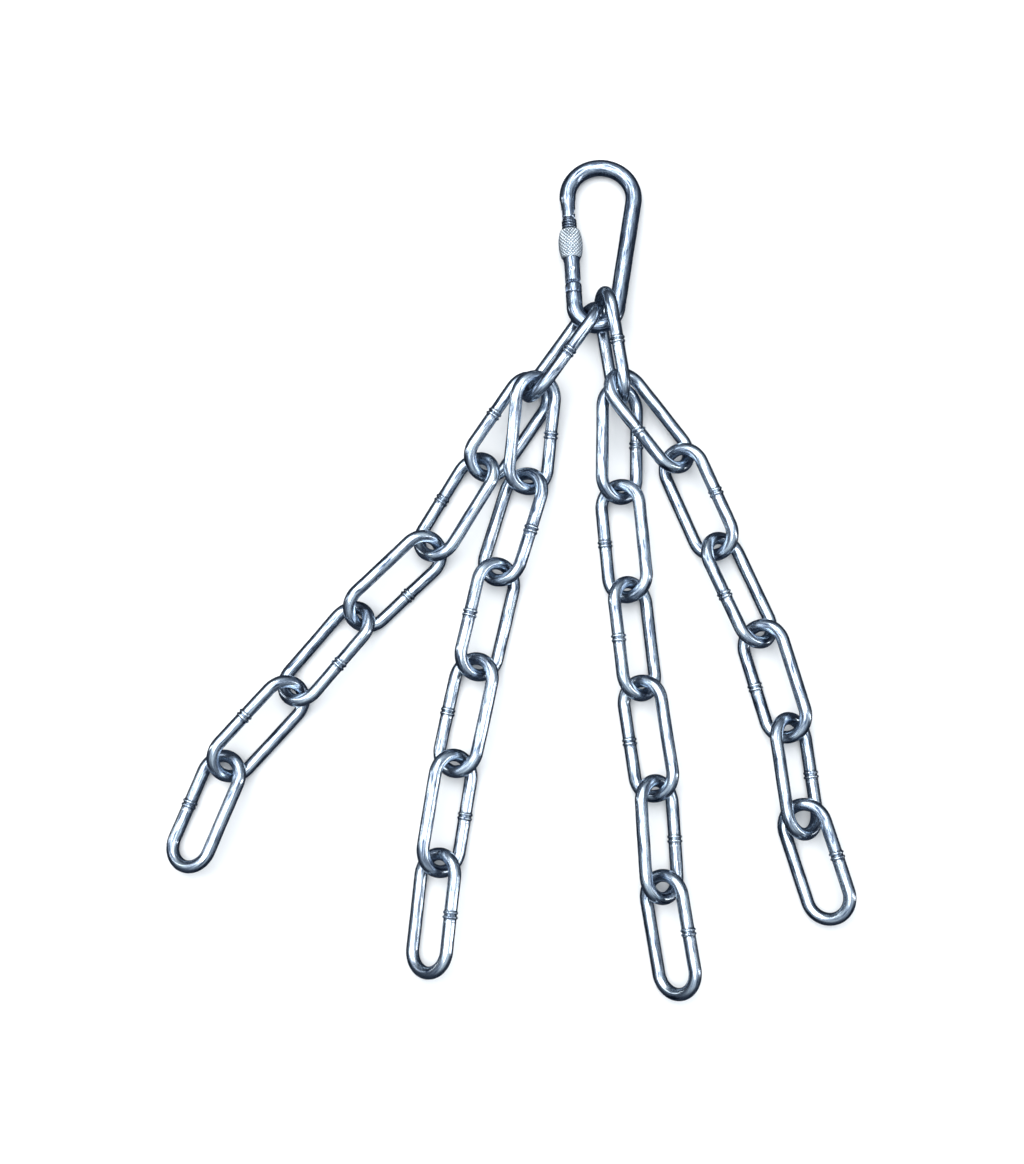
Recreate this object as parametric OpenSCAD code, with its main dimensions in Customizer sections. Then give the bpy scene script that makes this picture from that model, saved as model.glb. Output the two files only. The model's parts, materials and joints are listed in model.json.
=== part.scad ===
// Four-leg hanger chain for a heavy hanging bag, laid out flat.
// A screw-lock carabiner holds two top links; each top link holds two legs of six long links.
// The frame: z = 0 is the surface that it lies on, +Y points from the legs to the carabiner.

/* [Chain links] */
// Diameter of the link wire
wire_d = 4.5; // [4.2:0.1:4.6]
// Outside length of one link
link_len = 45; // [44.5:0.5:46]
// Outside width of one link
link_w = 20; // [19.5:0.5:21]
// Diameter of the weld bead in the middle of one side
weld_d = 5.2; // [4.8:0.1:5.4]
// Length of the weld bead along the wire
weld_len = 2.2; // [1.6:0.2:3]

/* [Carabiner body] */
// Diameter of the bent rod
rod_d = 6; // [5.8:0.1:6.1]
// Overall length
hook_len = 69; // [68.5:0.5:71]
// Centreline radius of the wide end
wide_r = 12.2; // [12:0.1:13]
// Centreline radius of the narrow end
narrow_r = 7.7; // [7.6:0.1:7.9]
// Height of the narrow end's rod centre above the surface
hook_z = 8.45; // [8.4:0.05:8.6]
// Heading of the carabiner on the surface, degrees clockwise from +Y
hook_yaw = 3; // [2.5:0.5:3.5]

/* [Gate and lock nut] */
// Distance down the gate arm to the joint between nose and gate
nose_at = 8; // [7.8:0.1:8.4]
// Distance down the gate arm to the rivet
rivet_at = 29; // [28.8:0.1:29.2]
// Distance down the gate arm to the lower end of the gate tube
gate_end_at = 33.4; // [33.2:0.1:33.6]
// Diameter of the gate tube
gate_d = 6.2; // [6:0.1:6.4]
// Diameter of the nose that the gate closes on
nose_d = 5.2; // [5:0.1:5.3]
// Crest diameter of the gate's thread
thread_d = 5.5; // [5.4:0.1:5.6]
// Pitch of the gate's thread
thread_pitch = 1.1; // [1:0.1:1.3]
// Length of the lock nut
nut_len = 11.2; // [10.8:0.1:11.3]
// Largest diameter of the lock nut
nut_d = 8.9; // [8.6:0.1:9.2]
// Diameter of the lock nut at its ends
nut_end_d = 7; // [6.8:0.1:7.4]
// How far the lock nut is screwed back from the nose joint
nut_back = 4.7; // [4.4:0.1:4.8]

/* [Layout on the surface] */
// Place of the narrow end's centre, X
hook_x = 31.6; // [30:0.1:33]
// Place of the narrow end's centre, Y
hook_y = 94.2; // [92:0.1:97]

/* [Hidden] */
$fn = 48;

// Steel colours
bright_zinc = [0.74, 0.78, 0.84];
blue_zinc = [0.66, 0.71, 0.79];
pale_zinc = [0.84, 0.86, 0.88];
spring_steel = [0.55, 0.56, 0.58];

// Link geometry
bend_r = (link_w - wire_d) / 2;
side_len = link_len - link_w;
crown_pitch = link_len - wire_d;

// Carabiner geometry: the two arms are tangents common to both end arcs
arc_gap = hook_len - rod_d - wide_r - narrow_r;
taper = asin((wide_r - narrow_r) / arc_gap);
arm_len = arc_gap * cos(taper);
// Slope that brings the wide end down to the surface
hook_pitch = asin((hook_z - rod_d / 2) / (arc_gap + wide_r));
// The tongue at the foot of the gate arm, and the fork of the gate tube that straddles it
tongue_t = 2.4;
tongue_w = 3.8;
tongue_rise = 2.4;
shoulder_gap = 0.7;
fork_w = 2.8;
fork_rise = 4.4;
fork_swing_r = gate_end_at - rivet_at + 0.5;
rivet_d = 1.9;
rivet_len = 6;
rivet_play = 0.2;
// The rod's two ends on the gate arm are turned down a little and run into the bends;
// the nose tapers down to its own diameter
turned_d = rod_d - 0.1;
turned_lap = 0.4;
nose_taper = 2.5;
// The gate's catch plate and latch pin, and the slots for them in the nose
nose_gap = 0.35;
pin_d = 1.5;
pin_len = 3.8;
pin_rise = 2.4;
pin_play = 0.35;
catch_t = 2;
catch_w = 3;
catch_over = 1.3;
catch_play = 0.4;
// The spring's bore, the spring and its plunger inside the gate tube
bore_d = 3.4;
bore_len = 8.5;
bore_end_at = rivet_at - fork_rise;
spring_d = 3;
spring_wire = 0.4;
spring_turns = 6;
spring_sides = 8;
spring_steps = 16;
plunger_d = 3.2;
plunger_rim = 0.9;
plunger_nose_d = 2.4;
plunger_stem_d = 1.8;
plunger_stem = 2.4;
plunger_gap = 0.12;
// Nut and thread
nut_play = 0.1;
thread_root_d = thread_d - thread_pitch * 0.7;
thread_end_at = rivet_at - 4.7;

// Layout: each leg is a list of [heading, roll, slack], from the top link down.
// Heading is in degrees from -Y towards +X. Roll is in degrees, positive with the right side raised.
// Slack is the free gap in millimetres between a link's crown and the crown that it hangs on.
top_left = [-35.3, 68];
top_right = [8.8, 77.8];
leg_a = [[-34, -33, 1.7], [-31, 34, 1.2], [-46, -38, 1.1], [-40, 33, 0.7], [-42, -40, 0.8], [-22, 26, 1.9]];
leg_b = [[-6, -29, 1.7], [-17, 32, 1.2], [-13, -35, 1.4], [-12, 31, 1.4], [-9, -38, 1.2], [-6, 39, 1.6]];
leg_c = [[-1, -35, 0.7], [5, 33, 0.4], [6, -40, 0.7], [8, 36, 0.6], [3, -42, 0.9], [9, 42, 3.4]];
leg_d = [[39, -36, 2.1], [23, 35, 1.6], [24, -37, 1.2], [16, 33, 1.5], [7, -41, 1.9], [17, 30, 5.8]];
// Offset of each top link's crown from the narrow end's centre: [x, y]
top_left_at = [-0.9, -1.3];
top_right_at = [2.5, 4.1];
// Offset of each leg's first crown from its place on its top link's axis: [x, y, lift]
first_a = [0.6, 1.2, 0];
first_b = [1, 0.7, 6.7];
first_c = [0.1, -0.1, 1.7];
first_d = [0.1, 1.9, 6.9];
// Which side of each link carries the weld bead: 1 is right, -1 is left
bead_a = [-1, -1, 1, 1, -1, -1];
bead_b = [1, 1, -1, -1, 1, 1];
bead_c = [1, -1, -1, -1, 1, 1];
bead_d = [-1, 1, -1, -1, 1, 1];

// Height of a link's centreline when its lower side lies on the surface
function rest_z(roll) = bend_r * abs(sin(roll)) + wire_d / 2;
// Unit step along a heading
function along(h) = [sin(h), -cos(h), 0];
// Lower crown of a link that starts at s, runs along heading h and ends at height z
function far_crown(s, h, z) =
    let (drop = z - s[2], run = sqrt(crown_pitch * crown_pitch - drop * drop))
    [s[0] + run * sin(h), s[1] - run * cos(h), z];
// Upper crown of the next link, inside the crown at e, between headings h0 and h1
function next_crown(e, h0, h1, slack, roll, shift) =
    let (u = along((h0 + h1) / 2))
    [e[0] - (wire_d + slack) * u[0] + shift[0], e[1] - (wire_d + slack) * u[1] + shift[1],
     rest_z(roll) + shift[2]];
// Upper crown of link i of a leg that hangs from a top link
function crown(leg, i, top, first) =
    i == 0 ? next_crown(top[0], top[1], leg[0][0], leg[0][2], leg[0][1], first)
           : let (above = leg[i - 1])
             next_crown(far_crown(crown(leg, i - 1, top, first), above[0], rest_z(above[1])),
                        above[0], leg[i][0], leg[i][2], leg[i][1], [0, 0, 0]);
// Upper crown of a top link, and the end that its legs hang from with its heading
function top_crown(at, top) = [hook_x + at[0], hook_y + at[1], rest_z(top[1])];
function top_end(at, top) = [far_crown(top_crown(at, top), top[0], rest_z(top[1])), top[0]];
left_end = top_end(top_left_at, top_left);
right_end = top_end(top_right_at, top_right);

// One link along -Y from its upper crown's wire centre at the origin, with its weld on side +X or -X
module link(weld_side) {
    module bend() rotate_extrude(angle = 180) translate([bend_r, 0]) circle(d = wire_d);
    module side(x) translate([x, 0, 0]) rotate([90, 0, 0])
        cylinder(d = wire_d, h = side_len, center = true);
    module bead() rotate([90, 0, 0]) union() {
        cylinder(d = weld_d, h = weld_len * 0.4, center = true);
        cylinder(d = (weld_d + wire_d) / 2, h = weld_len, center = true);
    }
    translate([0, -crown_pitch / 2, 0]) {
        translate([0, side_len / 2, 0]) bend();
        translate([0, -side_len / 2, 0]) rotate([0, 0, 180]) bend();
        side(bend_r);
        side(-bend_r);
        translate([weld_side * bend_r, 0, 0]) bead();
    }
}

// Places a link at its upper crown with its heading, its slope and its roll
module placed(s, h, roll, weld_side) {
    slope = asin((rest_z(roll) - s[2]) / crown_pitch);
    color(bright_zinc) translate(s) rotate([0, 0, h]) rotate([-slope, 0, 0]) rotate([0, -roll, 0])
        link(weld_side);
}

// Link i of one leg
module leg_link(leg, i, top, first, welds)
    placed(crown(leg, i, top, first), leg[i][0], leg[i][1], welds[i]);

// Moves the carabiner's own plane to where it lies; its origin is the narrow end's centre
module hook_frame()
    translate([hook_x, hook_y, hook_z]) rotate([0, 0, -hook_yaw]) rotate([-hook_pitch, 0, 0])
        children();

// Moves to the gate arm: -Z runs down the arm from the wide end, +X points into the eye,
// and +Y is the pivot's direction
module arm_frame()
    rotate([0, 0, taper]) translate([-narrow_r, arm_len, 0]) rotate([-90, 0, 0]) children();

// A rod from distance a to distance b down the gate arm
module arm_rod(d, a, b) translate([0, 0, -b]) cylinder(d = d, h = b - a);

// A flat plate on the gate arm, w across and t thick along the pivot, from distance a to b
module arm_plate(w, t, a, b) translate([-w / 2, -t / 2, -b]) cube([w, t, b - a]);

// A pin along the pivot's direction at distance s down the gate arm
module arm_pin(d, len, s) translate([0, 0, -s]) rotate([90, 0, 0]) cylinder(d = d, h = len, center = true);

// The bent rod apart from its two ends on the gate arm, drawn from the straight arm outwards
module bent_rod() rotate([0, 0, -taper]) {
    translate([narrow_r, 0, 0]) rotate([-90, 0, 0]) cylinder(d = rod_d, h = arm_len);
    mirror([0, 1, 0]) rotate_extrude(angle = 180 - 2 * taper)
        translate([narrow_r, 0]) circle(d = rod_d);
    translate([narrow_r - wide_r, arm_len, 0]) rotate_extrude(angle = 180 + 2 * taper)
        translate([wide_r, 0]) circle(d = rod_d);
}

// Half section of the nose, from the wide end's bend down to the joint with the gate
module nose_profile()
    polygon([[0, turned_lap], [turned_d / 2, turned_lap], [turned_d / 2, 0], [nose_d / 2, -nose_taper],
             [nose_d / 2, -nose_at], [0, -nose_at]]);

module hook_body() color(blue_zinc) hook_frame() difference() {
    union() {
        bent_rod();
        arm_frame() {
            rotate_extrude() nose_profile();
            arm_rod(turned_d, gate_end_at + shoulder_gap, arm_len + turned_lap);
            arm_plate(tongue_w, tongue_t, rivet_at - tongue_rise, gate_end_at + shoulder_gap + 1);
        }
    }
    arm_frame() {
        arm_plate(rod_d + 2, catch_t + catch_play, nose_at - pin_rise - catch_over - catch_play, nose_at + 1);
        arm_pin(pin_d + pin_play, pin_len + pin_play, nose_at - pin_rise);
        translate([0, -(pin_len + pin_play) / 2, pin_rise - nose_at - pin_d / 2 - pin_play])
            cube([rod_d, pin_len + pin_play, pin_d + pin_play * 1.3]);
        arm_pin(rivet_d + rivet_play, rod_d + 2, rivet_at);
    }
}

// One ridge of the gate's thread, at distance s down the arm
module thread_ridge(s) {
    half = thread_pitch * 0.4;
    flat = thread_pitch * 0.1;
    translate([0, 0, -s]) rotate_extrude()
        polygon([[bore_d / 2 + 0.2, -half], [thread_root_d / 2, -half], [thread_d / 2, -flat],
                 [thread_d / 2, flat], [thread_root_d / 2, half], [bore_d / 2 + 0.2, half]]);
}

module gate() color(blue_zinc) hook_frame() arm_frame() difference() {
    union() {
        arm_rod(thread_root_d, nose_at + nose_gap, thread_end_at + 1);
        for (s = [nose_at + nose_gap + thread_pitch / 2 : thread_pitch : thread_end_at])
            thread_ridge(s);
        intersection() {
            arm_rod(gate_d, thread_end_at, gate_end_at);
            arm_rod_swing();
        }
        arm_plate(catch_w, catch_t, nose_at - pin_rise - catch_over, nose_at + 1);
    }
    arm_plate(rod_d + 2, fork_w, bore_end_at, gate_end_at + 1);
    arm_rod(bore_d, bore_end_at - bore_len, bore_end_at + 0.1);
    arm_pin(rivet_d, rod_d + 2, rivet_at);
    arm_pin(pin_d, rod_d, nose_at - pin_rise);
}

// Room that the fork's end may fill: round about the rivet, so that it swings clear of the shoulder
module arm_rod_swing() {
    arm_pin(fork_swing_r * 2, rod_d + 2, rivet_at);
    arm_plate(rod_d + 2, rod_d + 2, 0, rivet_at);
}

module lock_nut() color(pale_zinc) hook_frame() arm_frame()
    translate([0, 0, -nose_at - nut_back]) rotate_extrude() nut_profile();

// Half section of the barrel-shaped nut, from its top face at y = 0 down
module nut_profile() {
    bulge = (nut_d - nut_end_d) / 2;
    barrel_r = (pow(nut_len / 2, 2) + pow(bulge, 2)) / (2 * bulge);
    difference() {
        intersection() {
            translate([nut_d / 2 - barrel_r, -nut_len / 2]) circle(r = barrel_r, $fn = 200);
            translate([0, -nut_len]) square([nut_d, nut_len]);
        }
        translate([-barrel_r * 2, -nut_len - 1])
            square([barrel_r * 2 + thread_d / 2 + nut_play, nut_len + 2]);
    }
}

module pivot_rivet() color(pale_zinc) hook_frame() arm_frame() arm_pin(rivet_d, rivet_len, rivet_at);

module latch_pin() color(spring_steel) hook_frame() arm_frame()
    arm_pin(pin_d, pin_len, nose_at - pin_rise);

module spring_plunger() color(spring_steel) hook_frame() arm_frame() {
    arm_rod(plunger_nose_d, bore_end_at - 0.2, rivet_at - tongue_rise - plunger_gap);
    arm_rod(plunger_d, bore_end_at - 0.1 - plunger_rim, bore_end_at - 0.1);
    arm_rod(plunger_stem_d, bore_end_at - 0.1 - plunger_rim - plunger_stem, bore_end_at - 0.5);
}

// Centre of the spring wire at turn fraction t, from 0 at the bore's blind end to 1 at the plunger
function coil_point(t, from, to) =
    let (r = (spring_d - spring_wire) / 2, a = 360 * spring_turns * t)
    [r * cos(a), r * sin(a), -(from + (to - from) * t)];

module gate_spring() {
    from = bore_end_at - bore_len + spring_wire / 2 + 0.05;
    to = bore_end_at - 0.1 - plunger_rim - spring_wire / 2 - 0.05;
    rings = spring_turns * spring_steps;
    points = [for (i = [0:rings]) let (c = coil_point(i / rings, from, to), a = 360 * i / spring_steps)
        for (j = [0:spring_sides - 1]) let (b = 360 * j / spring_sides)
            c + spring_wire / 2 * [cos(b) * cos(a), cos(b) * sin(a), sin(b)]];
    faces = concat(
        [for (i = [0:rings - 1], j = [0:spring_sides - 1]) let (k = (j + 1) % spring_sides)
            [i * spring_sides + j, i * spring_sides + k, (i + 1) * spring_sides + k,
             (i + 1) * spring_sides + j]],
        [[for (j = [spring_sides - 1:-1:0]) j], [for (j = [0:spring_sides - 1]) rings * spring_sides + j]]);
    color(spring_steel) hook_frame() arm_frame() polyhedron(points, faces);
}

module top_link_left()
    placed(top_crown(top_left_at, top_left), top_left[0], top_left[1], 1);

module top_link_right()
    placed(top_crown(top_right_at, top_right), top_right[0], top_right[1], 1);

hook_body();
gate();
lock_nut();
pivot_rivet();
latch_pin();
gate_spring();
spring_plunger();
top_link_left();
top_link_right();
leg_link(leg_a, 0, left_end, first_a, bead_a);  // leg_a_link_1
leg_link(leg_a, 1, left_end, first_a, bead_a);  // leg_a_link_2
leg_link(leg_a, 2, left_end, first_a, bead_a);  // leg_a_link_3
leg_link(leg_a, 3, left_end, first_a, bead_a);  // leg_a_link_4
leg_link(leg_a, 4, left_end, first_a, bead_a);  // leg_a_link_5
leg_link(leg_a, 5, left_end, first_a, bead_a);  // leg_a_link_6
leg_link(leg_b, 0, left_end, first_b, bead_b);  // leg_b_link_1
leg_link(leg_b, 1, left_end, first_b, bead_b);  // leg_b_link_2
leg_link(leg_b, 2, left_end, first_b, bead_b);  // leg_b_link_3
leg_link(leg_b, 3, left_end, first_b, bead_b);  // leg_b_link_4
leg_link(leg_b, 4, left_end, first_b, bead_b);  // leg_b_link_5
leg_link(leg_b, 5, left_end, first_b, bead_b);  // leg_b_link_6
leg_link(leg_c, 0, right_end, first_c, bead_c);  // leg_c_link_1
leg_link(leg_c, 1, right_end, first_c, bead_c);  // leg_c_link_2
leg_link(leg_c, 2, right_end, first_c, bead_c);  // leg_c_link_3
leg_link(leg_c, 3, right_end, first_c, bead_c);  // leg_c_link_4
leg_link(leg_c, 4, right_end, first_c, bead_c);  // leg_c_link_5
leg_link(leg_c, 5, right_end, first_c, bead_c);  // leg_c_link_6
leg_link(leg_d, 0, right_end, first_d, bead_d);  // leg_d_link_1
leg_link(leg_d, 1, right_end, first_d, bead_d);  // leg_d_link_2
leg_link(leg_d, 2, right_end, first_d, bead_d);  // leg_d_link_3
leg_link(leg_d, 3, right_end, first_d, bead_d);  // leg_d_link_4
leg_link(leg_d, 4, right_end, first_d, bead_d);  // leg_d_link_5
leg_link(leg_d, 5, right_end, first_d, bead_d);  // leg_d_link_6
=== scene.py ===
"""A four-leg hanger chain laid out flat: a screw-lock carabiner, two top links and four legs of
welded links."""

import json
import math

import bmesh
import bpy
import numpy as np
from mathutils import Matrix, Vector


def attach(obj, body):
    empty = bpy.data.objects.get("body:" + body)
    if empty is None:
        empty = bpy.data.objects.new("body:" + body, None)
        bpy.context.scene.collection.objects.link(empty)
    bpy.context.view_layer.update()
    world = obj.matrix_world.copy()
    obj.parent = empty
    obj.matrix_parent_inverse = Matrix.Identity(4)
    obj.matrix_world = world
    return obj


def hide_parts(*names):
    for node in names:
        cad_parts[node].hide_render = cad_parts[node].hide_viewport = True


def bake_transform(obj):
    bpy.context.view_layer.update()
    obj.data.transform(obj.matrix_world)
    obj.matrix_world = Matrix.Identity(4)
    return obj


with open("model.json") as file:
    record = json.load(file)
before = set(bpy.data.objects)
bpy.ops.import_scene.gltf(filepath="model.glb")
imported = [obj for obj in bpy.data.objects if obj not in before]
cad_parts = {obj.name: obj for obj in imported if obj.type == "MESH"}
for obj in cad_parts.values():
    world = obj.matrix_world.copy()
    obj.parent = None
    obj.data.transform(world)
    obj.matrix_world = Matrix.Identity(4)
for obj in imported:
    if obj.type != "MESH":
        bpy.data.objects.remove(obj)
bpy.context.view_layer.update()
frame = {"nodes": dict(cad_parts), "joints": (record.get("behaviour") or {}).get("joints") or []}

MM = 0.001

# ---------------------------------------------------------------- sizes, in millimetres
WIRE_R = 2.25
LINK_LEN, LINK_W = 45.0, 20.0
BEND_R = LINK_W / 2 - WIRE_R
SIDE_LEN = LINK_LEN - LINK_W

ROD_R, TURNED_R, NOSE_R, GATE_R = 3.0, 2.95, 2.6, 3.1
WIDE_R, NARROW_R = 12.2, 7.7
ARC_GAP = 69.0 - 2 * ROD_R - WIDE_R - NARROW_R
TAPER = math.asin((WIDE_R - NARROW_R) / ARC_GAP)
ARM_LEN = ARC_GAP * math.cos(TAPER)

# Distances down the gate arm from the wide end
NOSE_AT, GATE_FROM, THREAD_END, RIVET_AT, GATE_TO, FOOT_AT = 8.0, 8.35, 24.3, 29.0, 33.4, 34.1
PIN_AT = NOSE_AT - 2.4
THREAD_R, THREAD_PITCH, THREAD_DEPTH = 2.75, 1.1, 0.385
NUT_AT, NUT_LEN, NUT_R, NUT_END_R, NUT_BORE_R = 12.7, 11.2, 4.45, 3.5, 2.85
KNURLS, KNURL_DEPTH = 20, 0.38
TONGUE_HALF_W, TONGUE_HALF_T = 1.9, 1.2
FORK_GAP, FORK_LEN, FORK_R = 1.4, 4.4, 4.9
COLLAR_AT, EDGE = 3.6, 0.35
OUT = 5.0  # half a cutting tool's reach, clear of every rod

# A link's weld and the wire round it
LOOP_LEN = 98.7
WELD_REACH, RIDGE_W = 2.2, 0.42
SEAM_W, RIM_AT, RIM_W = 0.20, 0.80, 0.18
UNEVEN = 0.012

# Camera
LENS, SENSOR, DISTANCE, TILT = 57.2, 36.0, 0.6615, math.radians(10.0)
AIM = Vector((1.17, -6.08, 0.0)) * MM
FLOOR_RADIUS, FLOOR_DROP = 1.6, 0.00003


# ---------------------------------------------------------------- camera, floor and light
def make_camera():
    """The camera stands south of the chain and looks down at it, ten degrees off the vertical."""
    data = bpy.data.cameras.new("camera")
    data.lens, data.sensor_width = LENS, SENSOR
    data.clip_start, data.clip_end = 0.05, 20.0
    cam = bpy.data.objects.new("camera", data)
    bpy.context.scene.collection.objects.link(cam)
    cam.location = AIM + Vector((0.0, -math.sin(TILT), math.cos(TILT))) * DISTANCE
    cam.rotation_euler = (TILT, 0.0, 0.0)
    bpy.context.scene.camera = cam


def make_floor():
    """A disc of pale paper just under the chain."""
    bpy.ops.mesh.primitive_circle_add(
        vertices=96, radius=FLOOR_RADIUS, fill_type="NGON", location=(0, 0, -FLOOR_DROP))
    floor = bpy.context.object
    floor.name = "floor"
    mat = bpy.data.materials.new("floor_paper")
    mat.use_nodes = True
    shader = mat.node_tree.nodes["Principled BSDF"]
    shader.inputs["Base Color"].default_value = (0.88, 0.88, 0.875, 1)
    shader.inputs["Roughness"].default_value = 0.9
    shader.inputs["Specular IOR Level"].default_value = 0.1
    # From below the paper is clear, so that links which swing under it stay in sight
    nodes, links = mat.node_tree.nodes, mat.node_tree.links
    kinds = ("NewGeometry", "BsdfTransparent", "MixShader")
    side, clear, mix = (nodes.new("ShaderNode" + n) for n in kinds)
    links.new(side.outputs["Backfacing"], mix.inputs["Fac"])
    links.new(shader.outputs[0], mix.inputs[1])
    links.new(clear.outputs[0], mix.inputs[2])
    links.new(mix.outputs[0], nodes["Material Output"].inputs["Surface"])
    floor.data.materials.append(mat)
    # The metal mirrors a dim room, so its edges stay dark against the pale paper
    floor.visible_glossy = False
    floor.visible_shadow = False


def soft_box(name, place, size, power, colour):
    """An area light that faces the origin."""
    data = bpy.data.lights.new(name, "AREA")
    data.shape, data.size, data.size_y = "RECTANGLE", size[0], size[1]
    data.energy, data.color = power, colour
    lamp = bpy.data.objects.new(name, data)
    bpy.context.scene.collection.objects.link(lamp)
    lamp.location = place
    lamp.rotation_euler = (-Vector(place)).to_track_quat("-Z", "Y").to_euler()


def make_light():
    soft_box("key", (-0.40, 0.35, 1.9), (2.6, 2.6), 66, (1.0, 1.0, 1.0))
    soft_box("right_strip", (1.9, -0.3, 0.50), (0.25, 1.8), 7, (1.0, 1.0, 1.0))
    soft_box("left_strip", (-1.9, 0.4, 0.45), (0.2, 1.6), 3.5, (0.95, 0.98, 1.0))
    world = bpy.data.worlds.new("studio")
    bpy.context.scene.world = world
    world.use_nodes = True
    nodes, links = world.node_tree.nodes, world.node_tree.links
    nodes.clear()
    out = nodes.new("ShaderNodeOutputWorld")
    mix = nodes.new("ShaderNodeMixShader")
    path = nodes.new("ShaderNodeLightPath")
    room, backdrop = nodes.new("ShaderNodeBackground"), nodes.new("ShaderNodeBackground")
    # The room that the metal mirrors: dim and blue at the horizon, lighter overhead
    kinds = ("TexCoord", "SeparateXYZ", "ValToRGB")
    way, parts, heights = (nodes.new("ShaderNode" + n) for n in kinds)
    ramp(heights, [
        (0.0, (0.03, 0.04, 0.06)), (0.25, (0.08, 0.10, 0.135)), (0.7, (0.62, 0.70, 0.78))])
    links.new(way.outputs["Generated"], parts.inputs["Vector"])
    links.new(parts.outputs["Z"], heights.inputs["Fac"])
    links.new(heights.outputs["Color"], room.inputs["Color"])
    backdrop.inputs["Color"].default_value = (0.85, 0.86, 0.87, 1)
    links.new(path.outputs["Is Camera Ray"], mix.inputs["Fac"])
    links.new(room.outputs[0], mix.inputs[1])
    links.new(backdrop.outputs[0], mix.inputs[2])
    links.new(mix.outputs[0], out.inputs["Surface"])


# ---------------------------------------------------------------- materials
def ramp(node, stops):
    """Sets a colour ramp's stops from [(position, (r, g, b))]."""
    while len(node.color_ramp.elements) < len(stops):
        node.color_ramp.elements.new(0.5)
    for element, (at, colour) in zip(node.color_ramp.elements, stops):
        element.position, element.color = at, (*colour, 1)


def plated_steel(name, dark, mid, light, rough, streak=1.0, bump=0.35):
    """Plated or drawn steel: streaks along the wire, a mottled tint, painted shade in the grooves, and
    roughness and relief that follow the streaks."""
    mat = bpy.data.materials.new(name)
    mat.use_nodes = True
    tree = mat.node_tree
    nodes, links = tree.nodes, tree.links
    shader = nodes["Principled BSDF"]
    shader.inputs["Metallic"].default_value = 1.0

    grain = nodes.new("ShaderNodeAttribute")
    grain.attribute_name = "grain"
    streaks = nodes.new("ShaderNodeTexNoise")
    streaks.inputs["Scale"].default_value = streak
    streaks.inputs["Detail"].default_value = 5.0
    streaks.inputs["Roughness"].default_value = 0.62
    spots = nodes.new("ShaderNodeTexNoise")
    spots.inputs["Scale"].default_value = 2.6
    spots.inputs["Detail"].default_value = 3.0
    place = nodes.new("ShaderNodeAttribute")
    place.attribute_name = "place"
    links.new(grain.outputs["Vector"], streaks.inputs["Vector"])
    links.new(place.outputs["Vector"], spots.inputs["Vector"])

    colour = nodes.new("ShaderNodeValToRGB")
    ramp(colour, [(0.36, dark), (0.47, mid), (0.60, light)])
    links.new(streaks.outputs["Fac"], colour.inputs["Fac"])
    tint = nodes.new("ShaderNodeMix")
    tint.data_type = "RGBA"
    tint.blend_type = "MULTIPLY"
    tint.inputs["Factor"].default_value = 0.6
    mottle = nodes.new("ShaderNodeValToRGB")
    ramp(mottle, [(0.35, (0.66, 0.72, 0.84)), (0.62, (1.0, 1.0, 1.0))])
    links.new(spots.outputs["Fac"], mottle.inputs["Fac"])
    links.new(colour.outputs["Color"], tint.inputs["A"])
    links.new(mottle.outputs["Color"], tint.inputs["B"])
    # Painted shade in the grooves: the colour darkens towards blue-grey where this attribute falls to nought
    crease_shade = nodes.new("ShaderNodeAttribute")
    crease_shade.attribute_name = "crease_shade"
    shade_mix = nodes.new("ShaderNodeMix")
    shade_mix.data_type = "RGBA"
    shade_mix.blend_type = "MULTIPLY"
    shade_mix.inputs["Factor"].default_value = 1.0
    depth = nodes.new("ShaderNodeValToRGB")
    ramp(depth, [(0.0, (0.10, 0.12, 0.15)), (1.0, (1.0, 1.0, 1.0))])
    links.new(crease_shade.outputs["Fac"], depth.inputs["Fac"])
    links.new(tint.outputs["Result"], shade_mix.inputs["A"])
    links.new(depth.outputs["Color"], shade_mix.inputs["B"])
    links.new(shade_mix.outputs["Result"], shader.inputs["Base Color"])

    gloss = nodes.new("ShaderNodeMapRange")
    limits = {"From Min": 0.3, "From Max": 0.7, "To Min": rough * 1.5, "To Max": rough * 0.7}
    for socket, value in limits.items():
        gloss.inputs[socket].default_value = value
    links.new(streaks.outputs["Fac"], gloss.inputs["Value"])
    links.new(gloss.outputs["Result"], shader.inputs["Roughness"])

    relief = nodes.new("ShaderNodeBump")
    relief.inputs["Strength"].default_value = bump
    relief.inputs["Distance"].default_value = 0.00006
    links.new(streaks.outputs["Fac"], relief.inputs["Height"])
    links.new(relief.outputs["Normal"], shader.inputs["Normal"])
    return mat


# ---------------------------------------------------------------- mesh helpers
def solid(name, rings, closed=False):
    """A closed skin through rings of points, (rings, sides, 3) in metres; open ones get flat ends."""
    n, m = rings.shape[:2]
    quads = []
    for i in range(n if closed else n - 1):
        for j in range(m):
            k, up = (j + 1) % m, (i + 1) % n
            quads.append((i * m + j, i * m + k, up * m + k, up * m + j))
    if not closed:
        quads.append(tuple(range(m))[::-1])
        quads.append(tuple((n - 1) * m + j for j in range(m)))
    mesh = bpy.data.meshes.new(name)
    mesh.from_pydata(rings.reshape(-1, 3).tolist(), [], quads)
    bm = bmesh.new()
    bm.from_mesh(mesh)
    bmesh.ops.recalc_face_normals(bm, faces=bm.faces)
    bm.to_mesh(mesh)
    bm.free()
    obj = bpy.data.objects.new(name, mesh)
    bpy.context.scene.collection.objects.link(obj)
    return obj


def carve(obj, op, *tools):
    """Adds, cuts or keeps what the tools cover, for good, and removes the tools."""
    for tool in tools:
        step = obj.modifiers.new("step", "BOOLEAN")
        step.operation, step.object, step.solver = op, tool, "EXACT"
    graph = bpy.context.evaluated_depsgraph_get()
    made = bpy.data.meshes.new_from_object(obj.evaluated_get(graph))
    obj.modifiers.clear()
    obj.data = made
    for tool in tools:
        bpy.data.objects.remove(tool)


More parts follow.
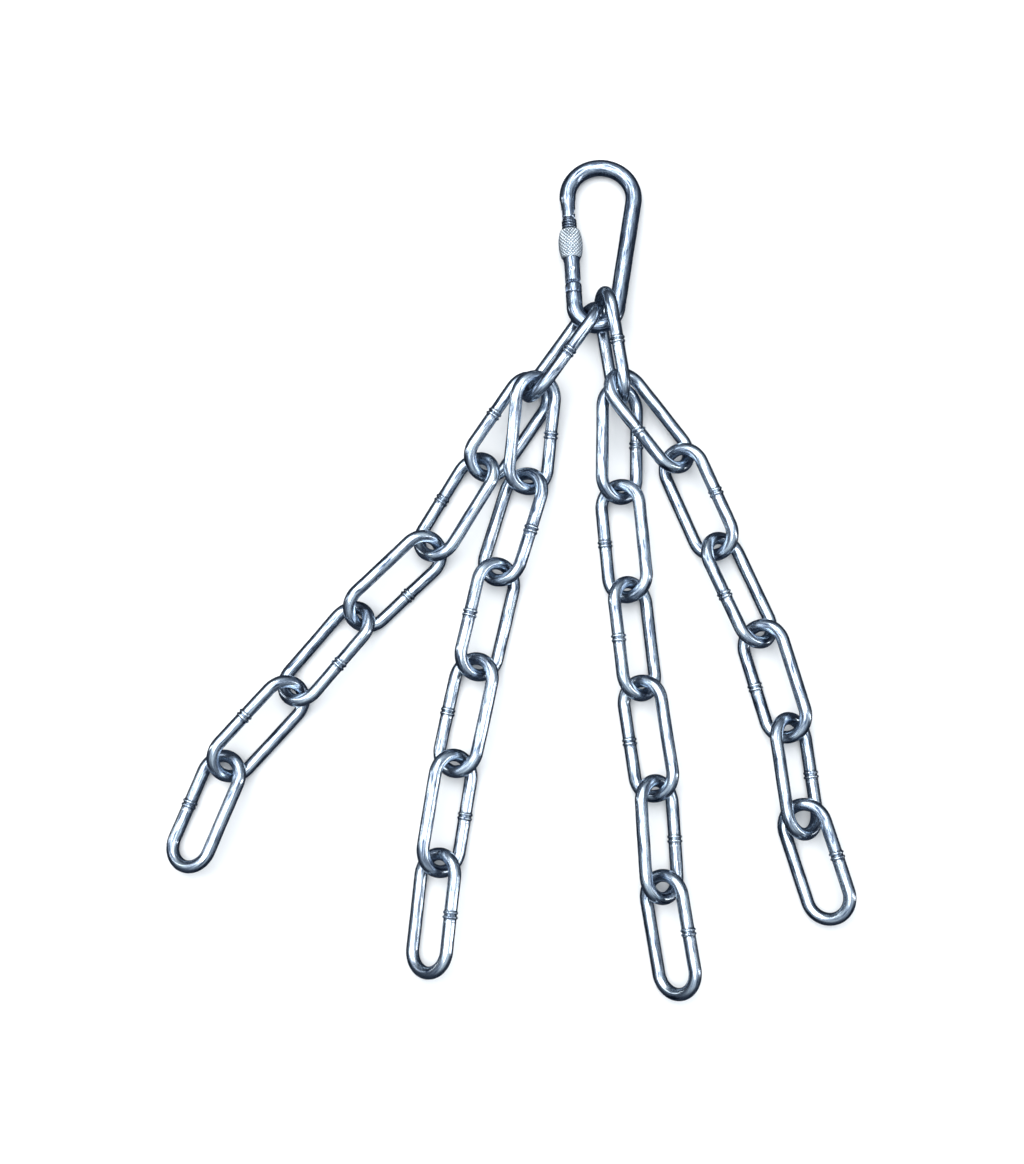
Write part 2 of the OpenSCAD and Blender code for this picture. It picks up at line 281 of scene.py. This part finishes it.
def points_of(obj):
    """The mesh's points, (n, 3) in metres."""
    co = np.empty(len(obj.data.vertices) * 3)
    obj.data.vertices.foreach_get("co", co)
    return co.reshape(-1, 3)


def store(obj, name, vectors):
    """Keeps a vector for each point under a name that the materials read."""
    layer = obj.data.attributes.new(name, "FLOAT_VECTOR", "POINT")
    layer.data.foreach_set("vector", np.asarray(vectors, float).ravel())


def done(obj, node, body, material, grain, sharp=38.0, crease_shade=None):
    mesh = obj.data
    mesh.polygons.foreach_set("use_smooth", [True] * len(mesh.polygons))
    mesh.set_sharp_from_angle(angle=math.radians(sharp))
    store(obj, "grain", grain)
    store(obj, "place", points_of(obj) / MM)
    # A per-point factor of painted shade: 1 leaves the colour as it is, 0 darkens it; by default there is
    # none
    zero_to_one = mesh.attributes.new("crease_shade", "FLOAT", "POINT")
    no_shade = np.ones(len(mesh.vertices))
    zero_to_one.data.foreach_set("value", no_shade if crease_shade is None else np.clip(crease_shade, 0, 1))
    mesh.materials.clear()
    mesh.materials.append(material)
    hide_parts(node)
    if body:
        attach(obj, body)
    return obj


# ---------------------------------------------------------------- links
def link_frame(node):
    """(centre, lateral axis, long axis, plane normal) of a CAD link in millimetres, and its weld's side."""
    mesh = frame["nodes"][node].data
    co = points_of(frame["nodes"][node]) / MM
    mesh.calc_loop_triangles()
    tri = np.array([t.vertices[:] for t in mesh.loop_triangles])
    a, b, c = co[tri[:, 0]], co[tri[:, 1]], co[tri[:, 2]]
    area = np.linalg.norm(np.cross(b - a, c - a), axis=1) / 2
    mean = (area[:, None] * (a + b + c) / 3).sum(0) / area.sum()
    a, b, c = a - mean, b - mean, c - mean
    whole = a + b + c
    moment = sum(np.einsum("t,ti,tj->ij", area / 12, v, v) for v in (a, b, c, whole))
    axes = np.linalg.eigh(moment)[1]
    normal, across, long = axes[:, 0], axes[:, 1], axes[:, 2]
    if long[1] < 0:
        long = -long
    if normal[2] < 0:
        normal = -normal
    across = np.cross(long, normal)
    at = np.stack([(co - mean) @ across, (co - mean) @ long, (co - mean) @ normal], axis=1)
    ends = at[np.abs(at[:, 1]) > SIDE_LEN / 3]
    middle = (ends.min(0) + ends.max(0)) / 2
    near = at[np.abs(at[:, 1] - middle[1]) < 1.5] - middle
    side = 1 if near[:, 0].max() > -near[:, 0].min() else -1
    return mean + np.stack([across, long, normal], axis=1) @ middle, across, long, normal, side


def loop_path(step=0.55, weld_step=0.09):
    """Points along a link's centreline, from its weld round: rows of length, place and outward direction."""
    half, bend = SIDE_LEN / 2, math.pi * BEND_R
    total = 2 * SIDE_LEN + 2 * bend
    weld = np.arange(-WELD_REACH, WELD_REACH, weld_step)
    rest = np.linspace(WELD_REACH, total - WELD_REACH, int((total - 2 * WELD_REACH) / step) + 1)
    out = []
    for u in np.concatenate([weld, rest[:-1]]):
        v = u % total
        if v < half:
            out.append((u, BEND_R, v, 1.0, 0.0))
        elif v < half + bend:
            t = (v - half) / BEND_R
            out.append((u, BEND_R * math.cos(t), half + BEND_R * math.sin(t), math.cos(t), math.sin(t)))
        elif v < half + bend + SIDE_LEN:
            out.append((u, -BEND_R, half - (v - half - bend), -1.0, 0.0))
        elif v < half + 2 * bend + SIDE_LEN:
            t = (v - half - bend - SIDE_LEN) / BEND_R + math.pi
            out.append((u, BEND_R * math.cos(t), -half + BEND_R * math.sin(t), math.cos(t), math.sin(t)))
        else:
            out.append((u, BEND_R, v - total, 1.0, 0.0))
    return np.array(out)


def make_link(node, seed, material):
    """One welded link where its CAD solid lies, with its own unevenness."""
    centre, across, long, normal, side = link_frame(node)
    rand = np.random.RandomState(seed)
    path = loop_path()
    u, x, y, ox, oy = path.T
    sides = 28
    phi = np.arange(sides) * 2 * math.pi / sides
    # Wire thickness: slow unevenness, slightly flattened outside the bends, and the weld's two ridges
    waves = sum(
        rand.uniform(-UNEVEN, UNEVEN)
        * np.sin(k * 2 * math.pi * u / LOOP_LEN + rand.uniform(0, 6.28))[:, None]
        * np.cos(j * phi + rand.uniform(0, 6.28))[None]
        for k in range(2, 9) for j in range(0, 3)
    )
    bent = np.clip((np.abs(y) - SIDE_LEN / 2) / 3.0, 0, 1)
    oval = -0.05 * bent[:, None] * np.maximum(np.cos(phi), 0)[None] ** 2
    jag = sum(
        rand.uniform(-0.035, 0.035) * np.cos(j * phi + rand.uniform(0, 6.28)) for j in range(1, 6)
    )
    tall = rand.uniform(0.34, 0.42, 2)
    gap = rand.uniform(0.70, 0.82)
    ridge = (
        tall[0] * np.exp(-(((u + gap)[:, None] - jag) / RIDGE_W) ** 4)
        + tall[1] * np.exp(-(((u - gap)[:, None] - jag) / RIDGE_W) ** 4)
        - 0.05 * np.exp(-((u[:, None] - jag) / 0.30) ** 2)
    )
    # Painted shade in the seam between the ridges and along their outer rims
    crease_shade = 1 - 0.7 * np.exp(-((u[:, None] - jag) / SEAM_W) ** 2)
    rim = (np.abs(u)[:, None] - gap - RIM_AT) - jag * np.sign(u)[:, None]
    crease_shade -= 0.6 * np.exp(-(rim / RIM_W) ** 2)
    r = WIRE_R + waves + oval + ridge
    # The sides bow a little
    bow = rand.uniform(-0.07, 0.07) * np.cos(np.clip(y / SIDE_LEN, -0.5, 0.5) * math.pi)
    flat = rand.uniform(-0.05, 0.05) * y / 20
    cx, cy = x + ox * bow, y
    ex = side * (cx[:, None] + r * np.cos(phi) * ox[:, None])
    ey = cy[:, None] + r * np.cos(phi) * oy[:, None]
    ez = r * np.sin(phi) + flat[:, None]
    rings = centre + ex[..., None] * across + ey[..., None] * long + ez[..., None] * normal
    obj = solid("shape_" + node, rings * MM, closed=True)
    shift = rand.uniform(0, 200, 3)
    along = np.repeat(u[:, None] * 0.13, sides, 1)
    grain = np.stack([along, r * np.cos(phi), r * np.sin(phi)], axis=-1).reshape(-1, 3) + shift
    return done(obj, node, node, material, grain, crease_shade=crease_shade.ravel())


# ---------------------------------------------------------------- carabiner
joints = {j["name"]: j for j in frame["joints"]}
pivot = np.array(joints["gate_hinge"]["pos_m"]) / MM
DOWN = np.array(joints["lock_nut_slide"]["axis"])
PIN_DIR = np.array(joints["gate_hinge"]["axis"])
DOWN, PIN_DIR = DOWN / np.linalg.norm(DOWN), PIN_DIR / np.linalg.norm(PIN_DIR)
INWARD, UP = np.cross(DOWN, PIN_DIR), -PIN_DIR
arm_top = pivot - DOWN * RIVET_AT


def arm(x, y, s):
    """Row-frame points, in millimetres, from the arm's own: x into the eye, y up, s down the arm."""
    x, y, s = (np.asarray(v)[..., None] for v in (x, y, s))
    return arm_top + x * INWARD + y * UP + s * DOWN


def turned(name, profile, sides=48, shape=None):
    """A piece turned about the gate arm from [(distance down the arm, radius)]."""
    profile = np.array(profile, float)
    phi = np.arange(sides) * 2 * math.pi / sides
    s = np.repeat(profile[:, :1], sides, 1)
    r = np.repeat(profile[:, 1:], sides, 1)
    if shape:
        r = shape(s, r, phi[None])
    return solid(name, arm(r * np.cos(phi), r * np.sin(phi), s) * MM)


def cross_pin(name, at, profile, sides=32):
    """A piece turned about the pivot's direction at a distance down the arm, from [(height, radius)]."""
    profile = np.array(profile, float)
    phi = np.arange(sides) * 2 * math.pi / sides
    h, r = profile[:, :1], profile[:, 1:]
    return solid(name, arm(r * np.cos(phi), h + 0 * phi, at + r * np.sin(phi)) * MM)


def block(name, x, y, s):
    """A box on the arm between the given pairs of limits."""
    corners = [[(x[i], y[j], k) for i, j in ((0, 0), (1, 0), (1, 1), (0, 1))] for k in s]
    c = np.array(corners, float)
    return solid(name, arm(c[..., 0], c[..., 1], c[..., 2]) * MM)


def bent_rod(step=0.6):
    """The bent rod from its nose, over the wide end, down the straight arm and round to its foot.
    In the gate arm's axes the wide arc's centre is WIDE_R to the right of the arm's top."""
    t2 = math.pi + 2 * TAPER
    pieces = []
    for s in np.arange(NOSE_AT, 0.0, -0.4):
        pieces.append((0.0, -s, -1.0, 0.0))
    for t in np.arange(0.0, t2, step / WIDE_R):
        pieces.append((WIDE_R - WIDE_R * math.cos(t), WIDE_R * math.sin(t), -math.cos(t), math.sin(t)))
    end = np.array([WIDE_R - WIDE_R * math.cos(t2), WIDE_R * math.sin(t2)])
    run = np.array([math.sin(t2), math.cos(t2)])
    out = (-math.cos(t2), math.sin(t2))
    for k in np.arange(0.0, ARM_LEN, step):
        pieces.append((*(end + run * k), *out))
    foot = end + run * ARM_LEN
    hub = foot - NARROW_R * np.array(out)
    t3 = math.pi - 2 * TAPER
    for t in np.arange(0.0, t3, step / NARROW_R):
        a = t2 + t
        o = np.array([-math.cos(a), math.sin(a)])
        pieces.append((*(hub + NARROW_R * o), *o))
    for s in np.arange(ARM_LEN, FOOT_AT, -0.4):
        pieces.append((0.0, -s, -1.0, 0.0))
    pieces.append((0.0, -FOOT_AT, -1.0, 0.0))
    return np.array(pieces)


def make_hook(material):
    """The bent rod with its nose slot and latch channel, and its tongue and rivet hole at the foot."""
    path = bent_rod()
    x, y, ox, oy = path.T
    length = np.concatenate([[0], np.cumsum(np.hypot(np.diff(x), np.diff(y)))])
    total = length[-1]
    sides = 44
    phi = np.arange(sides) * 2 * math.pi / sides
    r = np.full(len(x), ROD_R)
    r[length > total - (ARM_LEN - FOOT_AT)] = TURNED_R
    nose = length < NOSE_AT
    r[nose] = np.interp(NOSE_AT - length[nose], [0.0, 2.5], [TURNED_R, NOSE_R])
    # A small groove and step where the foot's collar meets the bend, and broken edges at both ends
    collar = total - length - COLLAR_AT
    r -= 0.22 * np.exp(-(collar / 0.28) ** 2)
    edge = np.minimum(length, total - length)
    r -= np.clip(EDGE - edge, 0, EDGE) * 0.8
    rand = np.random.RandomState(5)
    waves = sum(
        rand.uniform(-UNEVEN, UNEVEN) * np.sin(k * 2 * math.pi * length / total + rand.uniform(0, 6.28))
        for k in range(3, 16)
    )
    r = (r + waves)[:, None] + 0 * phi
    ex = x[:, None] + r * np.cos(phi) * ox[:, None]
    ey = y[:, None] + r * np.cos(phi) * oy[:, None]
    ez = r * np.sin(phi)
    obj = solid("shape_hook_body", arm(ex, ez, -ey) * MM)
    thick = (-TONGUE_HALF_T, TONGUE_HALF_T)
    wide = (-TONGUE_HALF_W, TONGUE_HALF_W)
    tongue = block("tongue", wide, thick, (RIVET_AT - 2.4, FOOT_AT + 1.5))
    carve(obj, "UNION", tongue)
    slot = block("slot", (-OUT, OUT), thick, (PIN_AT - 1.7, NOSE_AT + 1))
    groove = block("groove", (0, 7), (-2.075, 2.075), (PIN_AT - 0.855, PIN_AT + 1.1))
    seat = cross_pin("seat", PIN_AT, [(-2.07, 0.92), (2.07, 0.92)])
    hole = cross_pin("hole", RIVET_AT, [(-OUT, 1.05), (OUT, 1.05)])
    notch = block("notch", (-3.9, -2.3), (0.3, 3.8), (FOOT_AT + 1.5, FOOT_AT + 3.2))
    carve(obj, "DIFFERENCE", slot, groove, seat, hole, notch)
    p = (points_of(obj) / MM - arm_top) @ np.stack([INWARD, UP, DOWN], axis=1)
    near = np.argmin((p[:, :1] - x) ** 2 + (p[:, 2:] + y) ** 2, axis=1)
    across = (p[:, 0] - x[near]) * ox[near] + (-p[:, 2] - y[near]) * oy[near]
    grain = np.stack([length[near] * 0.10, across, p[:, 1]], axis=1) + 31.0
    done(obj, "hook_body", "hook", material, grain)


def arm_grain(obj, stretch=0.12, shift=0.0):
    """Texture coordinates that run along the gate arm."""
    p = (points_of(obj) / MM - arm_top) @ np.stack([DOWN, INWARD, UP], axis=1)
    return p * [stretch, 1, 1] + shift


def make_gate(material):
    """The threaded tube with its latch end, its fork, its spring bore and its rivet hole."""
    steps = np.concatenate([
        np.arange(GATE_FROM, THREAD_END, 0.1), np.arange(THREAD_END, GATE_TO, 0.4), [GATE_TO]])

    def thread(s, r, phi):
        wave = np.abs(((s / THREAD_PITCH + phi / (2 * math.pi)) % 1.0) * 2 - 1)
        zero_to_one = np.clip((wave - 0.12) / 0.6, 0, 1)
        fade = np.clip((THREAD_END - s) / 0.8, 0, 1) * np.clip((s - GATE_FROM) / 0.5, 0, 1)
        root = THREAD_R - THREAD_DEPTH
        cut = root + (THREAD_R - root) * zero_to_one * fade
        tube = GATE_R - 0.8 * np.clip(s - GATE_TO + EDGE, 0, 1)
        return np.where(s < THREAD_END, cut, tube)

    obj = turned("shape_gate", [(s, GATE_R) for s in steps], sides=64, shape=thread)
    # The fork's end is rounded about the rivet, so that it clears the foot as it swings
    swing = cross_pin("swing", RIVET_AT, [(-OUT, FORK_R), (OUT, FORK_R)], sides=96)
    keep = block("keep", (-OUT, OUT), (-OUT, OUT), (0, RIVET_AT))
    carve(swing, "UNION", keep)
    carve(obj, "INTERSECT", swing)
    catch = block("catch", (-1.5, 1.5), (-1.0, 1.0), (PIN_AT - 1.3, GATE_FROM + 1))
    carve(obj, "UNION", catch)
    fork = block("fork", (-OUT, OUT), (-FORK_GAP, FORK_GAP), (RIVET_AT - FORK_LEN, GATE_TO + 1))
    bore = turned("bore", [(16.1, 1.7), (24.7, 1.7)])
    hole = cross_pin("hole", RIVET_AT, [(-OUT, 0.95), (OUT, 0.95)])
    carve(obj, "DIFFERENCE", fork, bore, hole)
    p = (points_of(obj) / MM - arm_top) @ np.stack([DOWN, INWARD, UP], axis=1)
    # Painted shade in the thread's roots: the deeper the groove, the darker the colour
    depth = np.where(p[:, 0] < THREAD_END, (THREAD_R - np.hypot(p[:, 1], p[:, 2])) / THREAD_DEPTH, 0)
    crease_shade = 1 - 0.75 * np.clip(depth, 0, 1)
    done(obj, "gate", "gate", material, arm_grain(obj, shift=11.0), sharp=32, crease_shade=crease_shade)


def make_nut(material):
    """The barrel nut: crossed rows of knurling outside, a plain bore inside."""
    bulge = NUT_R - NUT_END_R
    barrel = ((NUT_LEN / 2) ** 2 + bulge ** 2) / (2 * bulge)
    around = KNURLS * 8
    phi = np.arange(around) * 2 * math.pi / around
    s = np.linspace(0, NUT_LEN, 97)[:, None]
    r = np.sqrt(barrel ** 2 - (s - NUT_LEN / 2) ** 2) - barrel + NUT_R
    pitch = 2 * math.pi * NUT_R / KNURLS
    turn = KNURLS * phi[None] / (2 * math.pi)

    def tri(v):
        return 1 - np.abs((v % 1.0) * 2 - 1)

    diamonds = np.minimum(tri(turn + s / pitch), tri(turn - s / pitch)) * 2
    ends = np.clip(np.minimum(s, NUT_LEN - s) / 0.7, 0, 1)
    outer = r - KNURL_DEPTH * (1 - np.clip(diamonds, 0, 1)) * ends - 0.35 * (1 - ends) ** 2
    skin = arm(outer * np.cos(phi), outer * np.sin(phi), NUT_AT + s + 0 * phi)
    inner = [NUT_LEN, NUT_LEN - 0.4, 0.4, 0.0]
    radii = [NUT_BORE_R + 0.3, NUT_BORE_R, NUT_BORE_R, NUT_BORE_R + 0.3]
    bore = np.array([
        arm(q * np.cos(phi), q * np.sin(phi), NUT_AT + v + 0 * phi) for v, q in zip(inner, radii)])
    obj = solid("shape_lock_nut", np.concatenate([skin, bore]) * MM, closed=True)
    # Painted shade in the knurl grooves: darker where the diamonds are cut deepest
    cut = np.clip(1 - diamonds, 0, 1) * ends
    crease_shade = np.concatenate([1 - 0.95 * cut.ravel(), np.ones(4 * around)])
    done(obj, "lock_nut", "lock_nut", material, arm_grain(obj, stretch=1.0), sharp=60, crease_shade=crease_shade)


def make_small_parts(plate, steel):
    """The rivet, the latch pin, the plunger and the spring."""
    rivet = cross_pin("shape_pivot_rivet", RIVET_AT, [
        (-3.0, 0.01), (-3.0, 0.70), (-2.93, 0.87), (-2.8, 0.95), (2.8, 0.95), (2.97, 0.88), (3.03, 0.74),
        (2.98, 0.58), (2.74, 0.36), (2.68, 0.18), (2.67, 0.01)])
    done(rivet, "pivot_rivet", "gate", plate, arm_grain(rivet, 1.0))
    pin = cross_pin("shape_latch_pin", PIN_AT, [(-1.9, 0.55), (-1.78, 0.75), (1.78, 0.75), (1.9, 0.55)])
    done(pin, "latch_pin", "gate", steel, arm_grain(pin, 1.0))
    plunger = turned("shape_spring_plunger", [
        (21.2, 0.75), (21.35, 0.9), (23.55, 0.9), (23.6, 1.45), (23.72, 1.6), (24.38, 1.6), (24.5, 1.45),
        (24.55, 1.2), (26.3, 1.2), (26.48, 1.02)], sides=32)
    done(plunger, "spring_plunger", "plunger", steel, arm_grain(plunger, 1.0))
    turns, wire, coil_r = 6, 0.2, 1.3
    start, end = 16.35, 23.35
    t = np.linspace(0, 1, turns * 28 + 1)[:, None]
    phi = np.arange(10) * 2 * math.pi / 10
    a = 2 * math.pi * turns * t
    rad = coil_r + wire * np.cos(phi)
    rings = arm(rad * np.cos(a), -rad * np.sin(a), start + (end - start) * t + wire * np.sin(phi))
    spring = solid("shape_gate_spring", rings * MM)
    done(spring, "gate_spring", None, steel, arm_grain(spring, 1.0))
    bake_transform(spring)


# ---------------------------------------------------------------- the scene
make_camera()
make_floor()
make_light()

zinc_blue = plated_steel(
    "zinc_links", (0.05, 0.075, 0.12), (0.44, 0.51, 0.60), (0.78, 0.86, 0.90), 0.22, bump=0.7)
zinc_body = plated_steel(
    "zinc_carabiner", (0.04, 0.06, 0.10), (0.26, 0.32, 0.41), (0.60, 0.68, 0.76), 0.24, 1.8, 0.8)
zinc_pale = plated_steel(
    "zinc_nut", (0.62, 0.70, 0.74), (0.80, 0.87, 0.90), (0.92, 0.96, 0.97), 0.36, bump=0.2)
drawn = plated_steel(
    "spring_steel", (0.25, 0.26, 0.28), (0.40, 0.41, 0.43), (0.55, 0.56, 0.58), 0.3)

links_in_order = [n for n in frame["nodes"] if "link" in n]
for number, node in enumerate(sorted(links_in_order)):
    make_link(node, number + 1, zinc_blue)
make_hook(zinc_body)
make_gate(zinc_body)
make_nut(zinc_pale)
make_small_parts(zinc_pale, drawn)

bpy.context.scene.view_settings.view_transform = "Standard"
